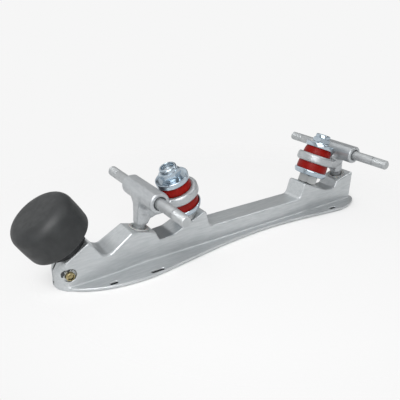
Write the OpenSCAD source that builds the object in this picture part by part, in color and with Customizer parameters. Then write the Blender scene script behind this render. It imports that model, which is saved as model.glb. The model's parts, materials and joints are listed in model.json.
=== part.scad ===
// Roller skate plate with two adjustable trucks and a screw-in toe stop.
// Sizes are in millimetres. The sole face lies on z = 0 with the trucks upward,
// +X points to the toe and the origin is midway between the two wheel axles.

/* [Plate] */
// Distance between the two wheel axles
wheelbase = 204; // [190:1:230]
// Overhang of the heel behind the rear wheel axle
heel_overhang = 22; // [18:0.5:26]
// Thickness of the mounting flange
flange_t = 3; // [2.5:0.1:4]
// Full width of the flange at the ball of the foot
toe_pad_w = 56.8; // [52:0.2:64]
// Distance from the front axle forward to the widest part of the toe pad
toe_pad_lead = 13; // [10:0.5:16]
// Full width of the flange at its waist
waist_w = 30.4; // [26:0.2:34]
// Distance from the middle of the plate back to the waist
waist_setback = 8; // [0:0.5:14]
// Full width of the flange at the heel
heel_pad_w = 45.6; // [42:0.2:52]
// Distance from the rear axle forward to the widest part of the heel pad
heel_pad_lead = 10; // [6:0.5:14]
// Full width of the straight end of the heel
heel_end_w = 16; // [10:0.5:22]
// Width of the spine that carries the trucks
spine_w = 18.2; // [18:0.1:21]
// Width of the toe boss
toe_boss_w = 22.8; // [22.6:0.1:26]
// Height of the low floor between the trucks
recess_h = 16.6; // [14.5:0.1:18]
// Height of the valleys on both sides of the pivot bosses
valley_h = 17.8; // [16.5:0.1:19]
// Length of the kingpin seats from the kingpin toward the middle
seat_back = 12; // [11.4:0.1:13]
// Length of the kingpin seats from the kingpin toward the ends
seat_fore = 17.5; // [16.5:0.1:18]
// Length of the pivot bosses from the pivot toward the middle
boss_back = 10; // [9.4:0.1:10.4]
// Length of the front pivot boss from the pivot toward the toe
front_boss_fore = 9.6; // [9:0.1:11]
// Length of the rear pivot boss from the pivot toward the heel
rear_boss_fore = 11.3; // [9:0.1:13]
// Radius of the outer edges of the spine profile
edge_r = 1.2; // [0.6:0.1:2]
// Radius of the hollows in the spine profile
hollow_r = 4.5; // [2:0.1:6]
// Wall left around the pockets under the spine
pocket_wall = 3.8; // [3:0.1:5]
// Number of pockets under each half of the spine
pocket_count = 2; // [1:1:3]

/* [Mounting slots] */
// Width of the slots for the sole screws
slot_w = 3.2; // [2.8:0.1:3.8]
// Distance from the toe stop back to the foremost slots
front_slot_setback = 21.4; // [20:0.2:24]
// Distance from the front axle forward to the slots beside it
middle_slot_lead = 4.3; // [2:0.1:6]
// Distance from the rear axle forward to the rear slots
rear_slot_lead = 15.8; // [12:0.2:20]
// Length of the foremost slots
front_slot_len = 6.3; // [5.5:0.1:9]
// Length of the slots beside the front truck
middle_slot_len = 11; // [8:0.1:14]
// Length of the rear slots
rear_slot_len = 8.5; // [6:0.1:12]
// Distance from the widest edge of the toe pad in to the foremost slots
front_slot_inset = 5.8; // [5.4:0.1:8]
// Distance from the widest edge of the toe pad in to the slots beside the front truck
middle_slot_inset = 3.5; // [3.3:0.1:6]
// Distance from the widest edge of the heel pad in to the rear slots
rear_slot_inset = 4.3; // [3.6:0.1:6]

/* [Truck geometry] */
// Height of the wheel axle over the sole face
axle_h = 53.2; // [52.5:0.1:54]
// Lean of the kingpin toward its end of the plate
kingpin_tilt = 21; // [20:0.5:22]
// Distance from the wheel axle back to the kingpin on its seat
kingpin_setback = 36; // [35.5:0.1:36.8]
// Height of the kingpin seat at the kingpin
seat_h = 25.5; // [25:0.1:26]
// Lean of the pivot pin toward the middle of the plate
pivot_tilt = 14.5; // [13:0.5:16]
// Distance from the wheel axle forward to the pivot ball
pivot_lead = 6.7; // [6.3:0.1:7]
// Height of the top of the pivot boss at the pivot
pivot_boss_h = 26.9; // [26.5:0.1:27.4]

/* [Kingpin stack] */
// Diameter of the kingpin
kingpin_d = 9.5; // [9:0.1:10]
// Depth of the kingpin in the plate
kingpin_depth = 17; // [12:0.5:18]
// Width across flats of the jam nut on the seat
jam_nut_af = 16.2; // [15.5:0.1:17]
// Height of the jam nut
jam_nut_h = 8.8; // [7.6:0.1:9.2]
// Sheet thickness of the cushion retainers
retainer_t = 1.6; // [1.2:0.1:1.8]
// Outer diameter of the lower retainer
lower_retainer_d = 30; // [29.6:0.1:31]
// Full height of the lower retainer
lower_retainer_h = 4.8; // [3.6:0.1:5.2]
// Diameter of the lower cushion
lower_cushion_d = 27.6; // [26:0.1:27.8]
// Height of the middle of the hanger ring over the seat
ring_h = 24.6; // [24.2:0.1:25]
// Diameter of the upper cushion at its foot
upper_cushion_d = 25.8; // [24.6:0.1:26.4]
// Diameter of the upper cushion at its head
upper_cushion_head_d = 22.6; // [21:0.1:22.8]
// Height of the upper cushion
upper_cushion_h = 7.9; // [7.5:0.1:8.2]
// Outer diameter of the upper retainer
upper_retainer_d = 25.6; // [25.4:0.1:26.6]
// Depth of the skirt of the upper retainer around the cushion
upper_skirt = 1.2; // [0.6:0.1:1.8]
// Width across flats of the lock nut on the kingpin
lock_nut_af = 14.3; // [13.5:0.1:15]
// Height of the hexagon of the lock nut
lock_nut_h = 7.8; // [7:0.1:8.4]
// Height of the locking collar on top of the lock nut
lock_collar_h = 3.4; // [2.8:0.1:3.8]
// Depth of the end of the kingpin inside the top of the lock nut
kingpin_recess = 0.8; // [0.2:0.1:1.6]

/* [Hanger] */
// Diameter of the barrel that holds the wheel axle
barrel_d = 15.6; // [15:0.1:16]
// Length of the barrel
barrel_len = 45; // [42:0.5:48]
// Height of the flat on the barrel over the wheel axle
barrel_flat_h = 7.1; // [6.8:0.1:7.4]
// Length of the flat on the barrel
barrel_flat_len = 38; // [30:0.5:39]
// Depth of the counterbore at both ends of the barrel
barrel_cbore_depth = 3; // [2:0.1:4]
// Diameter of the counterbore at both ends of the barrel
barrel_cbore_d = 10.8; // [10:0.1:11.6]
// Outer diameter of the ring between the cushions
ring_d = 33; // [32:0.1:33.6]
// Thickness of the ring between the cushions
ring_t = 8; // [7.4:0.1:8.4]
// Depth of the cushion seats in both faces of the ring
ring_seat = 1; // [0.6:0.1:1.4]
// Bore of the ring around the kingpin
ring_bore_d = 14; // [13.6:0.1:15]
// Width of the arm along its outer side
arm_w = 9.8; // [9:0.1:11]
// Width of the arm behind its outer side
arm_web_w = 7.6; // [6:0.1:8.4]
// Diameter of the ball at the end of the pivot pin
pivot_ball_d = 9; // [8.6:0.1:9.4]
// Diameter of the pivot pin over its ball
pivot_pin_d = 8.2; // [7.8:0.1:8.4]

/* [Axle and pivot cup] */
// Diameter of the wheel axle
axle_d = 8; // [7:1:8]
// Length of the wheel axle
axle_len = 112; // [104:1:120]
// Diameter of the pressed middle of the wheel axle in the barrel
axle_grip_d = 9; // [8.6:0.1:9.4]
// Chamfer at the ends of the wheel axle
axle_chamfer = 0.8; // [0.4:0.1:1.2]
// Outer diameter of the pivot cup in its boss
cup_d = 13.2; // [12.6:0.1:13.6]
// Diameter of the lip of the pivot cup
cup_lip_d = 15.8; // [15:0.1:16.4]
// Thickness of the lip of the pivot cup
cup_lip_t = 1; // [0.8:0.1:1.3]
// Floor of the pivot cup under the ball
cup_floor = 1.6; // [1.2:0.1:2]

/* [Toe stop] */
// Lean of the toe stop toward the toe
stop_tilt = 31.8; // [30:0.1:33]
// Distance from the front axle to the toe stop on its boss
stop_lead = 58.7; // [58:0.1:60]
// Height of the boss face at the toe stop
stop_face_h = 26.6; // [26:0.1:27.2]
// Distance from the toe stop back to the foot of its boss
boss_foot_setback = 23.5; // [22.5:0.1:24]
// Distance from the toe stop back to the peak of its boss
boss_peak_setback = 9.8; // [9.4:0.1:10.4]
// Distance from the toe stop to the front end of the boss face
boss_face_reach = 7.6; // [7:0.1:8.2]
// Height of the nose
nose_h = 12.6; // [12.2:0.1:13.4]
// Full width of the straight end of the nose
nose_w = 12.6; // [8:0.2:16]
// Distance from the toe stop on its boss to the nose
nose_reach = 13.5; // [13:0.1:15]
// Diameter of the rubber
stop_d = 45.8; // [42:0.2:50]
// Height of the rubber
stop_h = 27.6; // [24:0.2:32]
// Radius of the working edge of the rubber
stop_edge_r = 8.7; // [4:0.1:10]
// Radius of the edge of the rubber next to the plate
stop_back_r = 3; // [1:0.1:4]
// Diameter of the stem
stem_d = 15.9; // [15:0.1:16]
// Length of stem in the plate
stem_depth = 20.5; // [16:0.5:21]
// Diameter of the anchor plate moulded into the rubber
anchor_d = 28; // [24:0.5:32]
// Thickness of the anchor plate
anchor_t = 3; // [2:0.1:4]
// Width across flats of the stem lock nut
stop_nut_af = 24; // [22:0.1:25]
// Height of the stem lock nut
stop_nut_h = 6.4; // [5:0.1:8]
// Diameter of the washer under the rubber
stop_washer_d = 30; // [28:0.5:34]
// Thickness of the washer under the rubber
stop_washer_t = 2.5; // [1.6:0.1:3]

/* [Pinch clamp] */
// Width of the slit in the toe boss
slit_w = 1.5; // [1:0.1:2]
// Distance from the nose back to the pinch screw
pinch_back = 8.3; // [8:0.1:8.6]
// Height of the pinch screw over the sole face
pinch_h = 10.9; // [10.4:0.1:11.4]
// Diameter of the pinch screw
pinch_d = 5; // [4:0.5:5]
// Diameter of the head of the pinch screw
pinch_head_d = 8.6; // [8:0.1:9]
// Width across flats of the socket in the head
pinch_socket_af = 4; // [3:0.5:5]
// Diameter of the counterbore for the head
pinch_cbore_d = 11; // [10:0.1:11.4]
// Depth of the counterbore for the head
pinch_cbore_depth = 6; // [5.4:0.1:6.6]

/* [Fits] */
// Radial clearance of pieces that turn or slide in each other
running_fit = 0.06; // [0.03:0.01:0.1]
// Radial clearance of pieces that are screwed or pressed together
seat_fit = 0.03; // [0.02:0.01:0.05]
// Gap between a soft cushion and its neighbours
cushion_gap = 0.25; // [0.15:0.05:0.4]

/* [Hidden] */
$fn = 48;

aluminium = "#b4b6b8";
zinc = "#a9b4be";
steel = "#8f9193";
urethane = "#8f120c";
rubber = "#3b3d3e";
over = 1;
beyond = 60;

// Places along the plate
axle_x = wheelbase / 2;
kingpin_x = axle_x - kingpin_setback;
pivot_x = axle_x + pivot_lead;
stop_x = axle_x + stop_lead;
nose_x = stop_x + nose_reach;
toe_pad_x = axle_x + toe_pad_lead;
waist_x = -waist_setback;
heel_pad_x = -(axle_x - heel_pad_lead);
heel_x = -(axle_x + heel_overhang);
spine_back_x = heel_x + 4;

// Heights along the kingpin, measured from its seat
jam_top = jam_nut_h;
lower_seat = jam_top + retainer_t;
ring_low = ring_h - ring_t / 2;
ring_high = ring_h + ring_t / 2;
lower_foot = lower_seat + cushion_gap;
lower_cushion_h = ring_low + ring_seat - cushion_gap - lower_foot;
upper_foot = ring_high - ring_seat + cushion_gap;
upper_seat = upper_foot + upper_cushion_h + cushion_gap;
nut_seat = upper_seat + retainer_t;
nut_top = nut_seat + lock_nut_h + lock_collar_h;

// Pivot ball under the top of its boss, measured along the pivot pin
ball_depth = 3.4;
pin_height = 13;

function ease(t) = (1 - cos(180 * t)) / 2;
function curve(p, t) =
    pow(1 - t, 3) * p[0] + 3 * pow(1 - t, 2) * t * p[1]
    + 3 * (1 - t) * t * t * p[2] + pow(t, 3) * p[3];
function curve_run(p, steps) = [for (i = [0:steps - 1]) curve(p, i / steps)];
function part_way(from, to, share) = from + (to - from) * share;
function corner_diameter(across_flats) = across_flats / cos(30);
// A point given along and up the kingpin, as x and z in the plate
function on_kingpin_xz(out, up) = [
    kingpin_x + out * cos(kingpin_tilt) + up * sin(kingpin_tilt),
    seat_h - out * sin(kingpin_tilt) + up * cos(kingpin_tilt)
];
// A height on the kingpin seat, the boss top and the toe stop face, at a place x
function seat_z(x) = seat_h + (kingpin_x - x) * tan(kingpin_tilt);
function boss_z(x) = pivot_boss_h + (x - pivot_x + ball_depth * sin(pivot_tilt)) * tan(pivot_tilt);
function face_z(x) = stop_face_h - (x - stop_x) * tan(stop_tilt);

module place_on_kingpin() {
    translate([kingpin_x, 0, seat_h]) rotate([0, kingpin_tilt, 0]) children();
}

module place_on_pivot() {
    translate([pivot_x, 0, pivot_boss_h - ball_depth * cos(pivot_tilt)])
        rotate([0, -pivot_tilt, 0]) children();
}

module place_on_stop() {
    translate([stop_x, 0, stop_face_h]) rotate([0, stop_tilt, 0]) children();
}

module upright(width) {
    rotate([90, 0, 0]) linear_extrude(height = width, center = true) children();
}

module hexagon(across_flats, height) {
    cylinder(d = corner_diameter(across_flats), h = height, $fn = 6);
}

// Outline of the flange seen from below
module flange_outline() {
    toe_half = toe_pad_w / 2;
    waist_half = waist_w / 2;
    heel_half = heel_pad_w / 2;
    heel_end = heel_end_w / 2;
    side = concat(
        curve_run([[nose_x, 0], [nose_x, nose_w / 2],
            [part_way(toe_pad_x, nose_x, 0.787), toe_half], [toe_pad_x, toe_half]], 18),
        curve_run([[toe_pad_x, toe_half], [part_way(toe_pad_x, waist_x, 0.167), toe_half],
            [part_way(waist_x, toe_pad_x, 0.453), waist_half], [waist_x, waist_half]], 16),
        curve_run([[waist_x, waist_half], [part_way(waist_x, heel_pad_x, 0.398), waist_half],
            [part_way(heel_pad_x, waist_x, 0.095), heel_half], [heel_pad_x, heel_half]], 12),
        curve_run([[heel_pad_x, heel_half], [part_way(heel_pad_x, heel_x, 0.572), heel_half],
            [heel_x, part_way(heel_end, heel_half, 0.338)], [heel_x, heel_end]], 10),
        [[heel_x, heel_end]]
    );
    back = [for (i = [len(side) - 1:-1:1]) [side[i][0], -side[i][1]]];
    polygon(concat(side, back));
}

// Outline of the spine and the wider toe boss, seen from above
module spine_outline() {
    flare_start = pivot_x + 1;
    flare_end = stop_x - 18;
    flare_steps = 12;
    flare = [for (i = [0:flare_steps])
        [part_way(flare_start, flare_end, i / flare_steps),
         (spine_w + (toe_boss_w - spine_w) * ease(i / flare_steps)) / 2]];
    near = concat([[spine_back_x, spine_w / 2]], flare, [[nose_x + over, toe_boss_w / 2]]);
    far = [for (i = [len(near) - 1:-1:0]) [near[i][0], -near[i][1]]];
    polygon(concat(near, far));
}

// Side view of one half of the spine, from the middle of the plate outward
module half_profile(is_front) {
    wall_run = 4;
    boss_run = 3;
    foot_run = 5;
    foot_rise = 2.4;
    seat_in = kingpin_x - seat_back;
    seat_out = kingpin_x + seat_fore;
    boss_in = pivot_x - boss_back;
    boss_out = pivot_x + (is_front ? front_boss_fore : rear_boss_fore);
    valley_x = stop_x - boss_foot_setback;
    peak_x = stop_x - boss_peak_setback;
    face_end_x = stop_x + boss_face_reach;
    inner = [
        [-over, -over], [-over, recess_h], [seat_in - wall_run, recess_h],
        [seat_in, seat_z(seat_in)],
        [seat_out, seat_z(seat_out)], [boss_in - boss_run, valley_h],
        [boss_in, boss_z(boss_in)], [boss_out, boss_z(boss_out)]
    ];
    toe = [
        [valley_x, valley_h], [valley_x + foot_run, valley_h + foot_rise],
        [peak_x, face_z(peak_x)], [face_end_x, face_z(face_end_x)],
        [nose_x, nose_h], [nose_x, -over]
    ];
    heel = [[-spine_back_x, 6], [-spine_back_x + over, -over]];
    polygon(concat(inner, is_front ? toe : heel));
}

module spine_profile() {
    intersection() {
        translate([-wheelbase, 0]) square([2 * wheelbase, beyond]);
        offset(r = edge_r) offset(delta = -edge_r)
            offset(r = -hollow_r) offset(delta = hollow_r)
                union() {
                    half_profile(true);
                    mirror([1, 0]) half_profile(false);
                }
    }
}

module slot(x, span, length) {
    for (side = [-1, 1])
        translate([x, side * span / 2, -over])
            linear_extrude(height = flange_t + 2 * over)
                union() {
                    square([length - slot_w, slot_w], center = true);
                    for (end = [-1, 1])
                        translate([end * (length - slot_w) / 2, 0]) circle(d = slot_w);
                }
}

// Pockets that lighten the spine, with a solid web under the origin
module spine_pockets() {
    web = 12;
    rib = 3;
    pocket_end = kingpin_x - 19;
    pocket_len = (pocket_end - web / 2 - rib * (pocket_count - 1)) / pocket_count;
    corner = 2.5;
    for (side = [-1, 1], i = [0:pocket_count - 1])
        translate([side * (web / 2 + pocket_len / 2 + i * (pocket_len + rib)), 0, -over])
            linear_extrude(height = recess_h - pocket_wall + over)
                offset(r = corner)
                    square([pocket_len - 2 * corner, spine_w - 2 * pocket_wall - 2 * corner], center = true);
}

module kingpin_hole() {
    place_on_kingpin()
        translate([0, 0, -kingpin_depth - over])
            cylinder(d = kingpin_d + 2 * seat_fit, h = kingpin_depth + 2 * over);
}

module cup_hole() {
    depth = pivot_ball_d / 2 + running_fit + cup_floor + seat_fit;
    place_on_pivot()
        translate([0, 0, -depth])
            cylinder(d = cup_d + 2 * seat_fit, h = depth + ball_depth + over);
}

module stem_hole() {
    place_on_stop()
        translate([0, 0, -stem_depth - over])
            cylinder(d = stem_d + 2 * running_fit, h = stem_depth + over + 5);
}

module pinch_slit() {
    hole_end_x = stop_x - stem_depth * sin(stop_tilt);
    hole_end_z = stop_face_h - stem_depth * cos(stop_tilt);
    upright(slit_w)
        polygon([
            [hole_end_x, -over], [hole_end_x, hole_end_z],
            [stop_x + 5 * sin(stop_tilt), stop_face_h + 5 * cos(stop_tilt)],
            [nose_x + over, stop_face_h], [nose_x + over, -over]
        ]);
}

module pinch_holes() {
    translate([nose_x - pinch_back, 0, pinch_h]) rotate([-90, 0, 0]) {
        translate([0, 0, -toe_boss_w / 2 + 2.5])
            cylinder(d = pinch_d + 2 * seat_fit, h = toe_boss_w);
        translate([0, 0, toe_boss_w / 2 - pinch_cbore_depth])
            cylinder(d = pinch_cbore_d, h = toe_boss_w);
    }
}

module base_plate() {
    color(aluminium) difference() {
        union() {
            linear_extrude(height = flange_t) flange_outline();
            intersection() {
                upright(2 * toe_boss_w) spine_profile();
                linear_extrude(height = beyond) intersection() {
                    spine_outline();
                    flange_outline();
                }
            }
        }
        slot(stop_x - front_slot_setback, toe_pad_w - 2 * front_slot_inset, front_slot_len);
        slot(axle_x + middle_slot_lead, toe_pad_w - 2 * middle_slot_inset, middle_slot_len);
        slot(-(axle_x - rear_slot_lead), heel_pad_w - 2 * rear_slot_inset, rear_slot_len);
        spine_pockets();
        for (end = [0, 1]) mirror([end, 0, 0]) {
            kingpin_hole();
            cup_hole();
        }
        stem_hole();
        pinch_slit();
        pinch_holes();
    }
}

module kingpin() {
    point = 0.8;
    shank = kingpin_depth + nut_top - kingpin_recess - point;
    color(steel) place_on_kingpin()
        translate([0, 0, -kingpin_depth]) {
            cylinder(d = kingpin_d, h = shank);
            translate([0, 0, shank]) cylinder(d1 = kingpin_d, d2 = kingpin_d - 2 * point, h = point);
        }
}

module jam_nut() {
    color(zinc) place_on_kingpin() difference() {
        hexagon(jam_nut_af, jam_nut_h);
        translate([0, 0, -over])
            cylinder(d = kingpin_d + 2 * seat_fit, h = jam_nut_h + 2 * over);
    }
}

// The lower retainer is a pressed cup with its base on the jam nut
module lower_retainer() {
    outer = lower_retainer_d / 2;
    inner = lower_cushion_d / 2 + cushion_gap;
    bore = kingpin_d / 2 + seat_fit;
    corner = 0.9;
    color(zinc) place_on_kingpin() translate([0, 0, jam_top])
        rotate_extrude()
            polygon([
                [bore, 0], [inner - retainer_t, 0], [inner, retainer_t / 2],
                [outer, lower_retainer_h - retainer_t], [outer, lower_retainer_h],
                [inner, lower_retainer_h], [inner, retainer_t + corner],
                [inner - corner, retainer_t], [bore, retainer_t]
            ]);
}

// The upper retainer is a shallower cup turned over the head of the cushion
module upper_retainer() {
    outer = upper_retainer_d / 2;
    inner = outer - 1.2;
    bore = kingpin_d / 2 + seat_fit;
    shoulder = 2;
    color(zinc) place_on_kingpin() translate([0, 0, upper_seat])
        rotate_extrude()
            polygon([
                [bore, 0], [inner, 0], [inner, -upper_skirt], [outer, -upper_skirt], [outer, 0],
                [outer - shoulder * 0.3, retainer_t * 0.65], [outer - shoulder, retainer_t],
                [bore, retainer_t]
            ]);
}

// A cushion with broken edges around the kingpin, its foot on z = 0
module cushion(foot_d, head_d, height) {
    bore = kingpin_d / 2 + cushion_gap;
    edge = 0.8;
    rotate_extrude()
        polygon([
            [bore, 0], [foot_d / 2 - edge, 0], [foot_d / 2, edge],
            [head_d / 2, height - edge], [head_d / 2 - edge, height], [bore, height]
        ]);
}

module lower_cushion() {
    color(urethane) place_on_kingpin() translate([0, 0, lower_foot])
        cushion(lower_cushion_d, lower_cushion_d, lower_cushion_h);
}

module upper_cushion() {
    color(urethane) place_on_kingpin() translate([0, 0, upper_foot])
        cushion(upper_cushion_d, upper_cushion_head_d, upper_cushion_h);
}

module lock_nut() {
    color(zinc) place_on_kingpin() translate([0, 0, nut_seat]) difference() {
        union() {
            hexagon(lock_nut_af, lock_nut_h);
            translate([0, 0, lock_nut_h])
                cylinder(d1 = lock_nut_af - 0.8, d2 = lock_nut_af - 2.8, h = lock_collar_h);
        }
        translate([0, 0, -over])
            cylinder(d = kingpin_d + 2 * seat_fit, h = lock_nut_h + lock_collar_h + 2 * over);
    }
}

// Side view of the web between the barrel, the ring and the pivot pin
module arm_profile() {
    ring_side = ring_d / 2 - 1.2;
    barrel_low = axle_h - barrel_d / 2;
    offset(r = 0.8) offset(delta = -0.8)
        polygon([
            on_kingpin_xz(ring_side, ring_high), on_kingpin_xz(ring_side, ring_high + 5),
            [axle_x - barrel_d / 2 + 1.5, axle_h + 1], [axle_x + barrel_d / 2 - 0.4, axle_h + 1],
            [axle_x + 8.3, barrel_low - 3], [pivot_x + 1.8, pivot_boss_h + 4.6],
            [pivot_x - 6.4, pivot_boss_h + 3.6], [axle_x - 2.4, pivot_boss_h + 7.6],
            [axle_x - 4, pivot_boss_h + 11], on_kingpin_xz(ring_side, ring_low)
        ]);
}

// The outer flange of the arm, a band along its toe or heel side
module arm_flange_profile() {
    intersection() {
        arm_profile();
        polygon([
            [axle_x + 3.2, axle_h + 2], [axle_x + 20, axle_h + 2],
            [axle_x + 20, pivot_boss_h], [pivot_x - 3.4, pivot_boss_h]
        ]);
    }
}

module yoke_ring() {
    round_r = 2;
    place_on_kingpin() translate([0, 0, ring_low])
        rotate_extrude()
            polygon([
                [ring_bore_d / 2, 0], [ring_d / 2 - round_r, 0],
                [ring_d / 2 - 0.6, 0.6], [ring_d / 2, round_r],
                [ring_d / 2, ring_t - round_r], [ring_d / 2 - 0.6, ring_t - 0.6],
                [ring_d / 2 - round_r, ring_t], [ring_bore_d / 2, ring_t]
            ]);
}

// The neck narrows from the ring to the arm, under the same curve as the arm
module yoke_neck() {
    start = 5;
    end = kingpin_setback - 5;
    middle = ring_d / 2;
    intersection() {
        place_on_kingpin() translate([0, 0, ring_low])
            linear_extrude(height = ring_t)
                polygon([
                    [start, ring_d / 2 - 1.4], [end, arm_w / 2],
                    [end, -arm_w / 2], [start, -ring_d / 2 + 1.4]
                ]);
        upright(ring_d) {
            arm_profile();
            polygon([
                on_kingpin_xz(start, ring_low), on_kingpin_xz(middle, ring_low),
                on_kingpin_xz(middle, ring_high), on_kingpin_xz(start, ring_high)
            ]);
        }
    }
}

module barrel() {
    round_r = 1.6;
    half = barrel_len / 2;
    translate([axle_x, 0, axle_h]) rotate([90, 0, 0])
        rotate_extrude()
            polygon([
                [0, -half], [barrel_d / 2 - round_r, -half], [barrel_d / 2 - 0.5, -half + 0.5],
                [barrel_d / 2, -half + round_r], [barrel_d / 2, half - round_r],
                [barrel_d / 2 - 0.5, half - 0.5], [barrel_d / 2 - round_r, half], [0, half]
            ]);
}

module hanger() {
    color(aluminium) difference() {
        union() {
            barrel();
            yoke_ring();
            yoke_neck();
            upright(arm_web_w) arm_profile();
            upright(arm_w) arm_flange_profile();
            place_on_pivot() {
                sphere(d = pivot_ball_d);
                cylinder(d = pivot_pin_d, h = pin_height);
            }
        }
        translate([axle_x, 0, axle_h]) {
            rotate([90, 0, 0])
                cylinder(d = axle_grip_d + 2 * seat_fit, h = barrel_len + 2 * over, center = true);
            for (side = [-1, 1])
                rotate([side * 90, 0, 0]) translate([0, 0, barrel_len / 2 - barrel_cbore_depth])
                    cylinder(d = barrel_cbore_d, h = barrel_cbore_depth + over);
            translate([-barrel_d / 2, -barrel_flat_len / 2, barrel_flat_h])
                cube([barrel_d, barrel_flat_len, barrel_d]);
        }
        place_on_kingpin() {
            translate([0, 0, ring_low - over]) {
                cylinder(d = ring_bore_d, h = ring_t + 2 * over);
                cylinder(d = lower_cushion_d + 2 * cushion_gap, h = ring_seat + over);
            }
            translate([0, 0, ring_high - ring_seat])
                cylinder(d = upper_cushion_d + 2 * cushion_gap, h = ring_seat + over);
            // Room for the upper cushion and its retainer beside the web
            translate([0, 0, ring_high])
                cylinder(d = upper_retainer_d + 4, h = nut_top);
        }
    }
}

module axle() {
    plain = axle_len - 2 * axle_chamfer;
    color(steel) translate([axle_x, 0, axle_h]) rotate([90, 0, 0]) {
        cylinder(d = axle_d, h = plain, center = true);
        cylinder(d = axle_grip_d, h = barrel_len - 2 * barrel_cbore_depth, center = true);
        for (end = [0, 1])
            mirror([0, 0, end]) translate([0, 0, plain / 2])
                cylinder(d1 = axle_d, d2 = axle_d - 2 * axle_chamfer, h = axle_chamfer);
    }
}

module pivot_cup() {
    seat_r = pivot_ball_d / 2 + running_fit;
    foot = seat_r + cup_floor;
    mouth = ball_depth + cup_lip_t;
    color("#c9c1a4") place_on_pivot() difference() {
        union() {
            translate([0, 0, -foot]) cylinder(d = cup_d, h = foot + ball_depth);
            translate([0, 0, ball_depth]) cylinder(d = cup_lip_d, h = cup_lip_t);
        }
        sphere(r = seat_r);
        translate([0, 0, -over])
            cylinder(r1 = seat_r - 0.36, r2 = seat_r + 0.64, h = mouth + 2 * over);
    }
}

module toe_stop_rubber() {
    base = stop_nut_h + stop_washer_t;
    r = stop_d / 2;
    back_arc = [for (a = [0:15:90])
        [r - stop_back_r + stop_back_r * sin(a), stop_back_r - stop_back_r * cos(a)]];
    edge_arc = [for (a = [0:10:90])
        [r - stop_edge_r + stop_edge_r * cos(a), stop_h - stop_edge_r + stop_edge_r * sin(a)]];
    color(rubber) place_on_stop() translate([0, 0, base]) difference() {
        rotate_extrude() polygon(concat([[0, 0]], back_arc, edge_arc, [[0, stop_h]]));
        translate([0, 0, -over]) cylinder(d = stem_d + 2 * seat_fit, h = over + stop_h / 3);
        translate([0, 0, stop_h / 3]) cylinder(d = anchor_d + 2 * seat_fit, h = anchor_t + 2 * seat_fit);
    }
}

module toe_stop_stem() {
    anchor_base = stop_nut_h + stop_washer_t + stop_h / 3 + seat_fit;
    color(steel) place_on_stop() {
        translate([0, 0, -stem_depth]) cylinder(d = stem_d, h = stem_depth + anchor_base);
        translate([0, 0, anchor_base]) cylinder(d = anchor_d, h = anchor_t);
    }
}

module toe_stop_washer() {
    color("#222425") place_on_stop() translate([0, 0, stop_nut_h]) difference() {
        cylinder(d = stop_washer_d, h = stop_washer_t);
        translate([0, 0, -over])
            cylinder(d = stem_d + 2 * seat_fit, h = stop_washer_t + 2 * over);
    }
}

module toe_stop_lock_nut() {
    color("#222425") place_on_stop() difference() {
        hexagon(stop_nut_af, stop_nut_h);
        translate([0, 0, -over])
            cylinder(d = stem_d + 2 * running_fit, h = stop_nut_h + 2 * over);
    }
}

module pinch_screw() {
    head_base = toe_boss_w / 2 - pinch_cbore_depth;
    head_h = pinch_d;
    tip = toe_boss_w / 2 - 3;
    color("#b9a878") translate([nose_x - pinch_back, 0, pinch_h]) rotate([-90, 0, 0]) difference() {
        union() {
            translate([0, 0, -tip]) cylinder(d = pinch_d, h = tip + head_base);
            translate([0, 0, head_base]) cylinder(d = pinch_head_d, h = head_h);
        }
        translate([0, 0, head_base + head_h / 2])
            hexagon(pinch_socket_af, head_h);
    }
}

module at_rear() {
    mirror([1, 0, 0]) children();
}

base_plate();
toe_stop_rubber();
toe_stop_stem();
toe_stop_washer();
toe_stop_lock_nut();
pinch_screw();
kingpin();  // front_kingpin
jam_nut();  // front_jam_nut
lower_retainer();  // front_lower_retainer
lower_cushion();  // front_lower_cushion
upper_cushion();  // front_upper_cushion
upper_retainer();  // front_upper_retainer
lock_nut();  // front_lock_nut
hanger();  // front_hanger
axle();  // front_axle
pivot_cup();  // front_pivot_cup
at_rear() kingpin();  // rear_kingpin
at_rear() jam_nut();  // rear_jam_nut
at_rear() lower_retainer();  // rear_lower_retainer
at_rear() lower_cushion();  // rear_lower_cushion
at_rear() upper_cushion();  // rear_upper_cushion
at_rear() upper_retainer();  // rear_upper_retainer
at_rear() lock_nut();  // rear_lock_nut
at_rear() hanger();  // rear_hanger
at_rear() axle();  // rear_axle
at_rear() pivot_cup();  // rear_pivot_cup
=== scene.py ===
"""Looks of a roller skate plate: a cast plate with two trucks and a rubber toe stop.

Pieces are drawn in millimetres and put in place in metres. Each truck piece is drawn for the front
truck, and the rear truck's is its mirror image across the middle of the plate.
"""

import json
import math

import bmesh
import bpy
import numpy as np
from mathutils import Matrix, Vector


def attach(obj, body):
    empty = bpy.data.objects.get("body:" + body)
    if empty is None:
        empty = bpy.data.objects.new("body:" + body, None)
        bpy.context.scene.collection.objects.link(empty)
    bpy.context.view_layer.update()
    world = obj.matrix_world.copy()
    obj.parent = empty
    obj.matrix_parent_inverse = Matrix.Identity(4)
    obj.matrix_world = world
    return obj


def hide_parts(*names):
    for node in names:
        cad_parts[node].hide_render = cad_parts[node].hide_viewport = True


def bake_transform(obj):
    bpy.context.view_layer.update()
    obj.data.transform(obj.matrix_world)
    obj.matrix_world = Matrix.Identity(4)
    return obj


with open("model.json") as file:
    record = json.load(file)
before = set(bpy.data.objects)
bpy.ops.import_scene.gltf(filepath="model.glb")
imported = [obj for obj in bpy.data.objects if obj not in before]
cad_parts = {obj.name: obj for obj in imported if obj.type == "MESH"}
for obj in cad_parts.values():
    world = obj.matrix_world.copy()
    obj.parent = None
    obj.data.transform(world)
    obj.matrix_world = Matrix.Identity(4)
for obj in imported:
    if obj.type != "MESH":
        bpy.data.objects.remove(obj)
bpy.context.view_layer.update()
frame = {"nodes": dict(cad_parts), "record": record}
MM = 0.001

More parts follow.
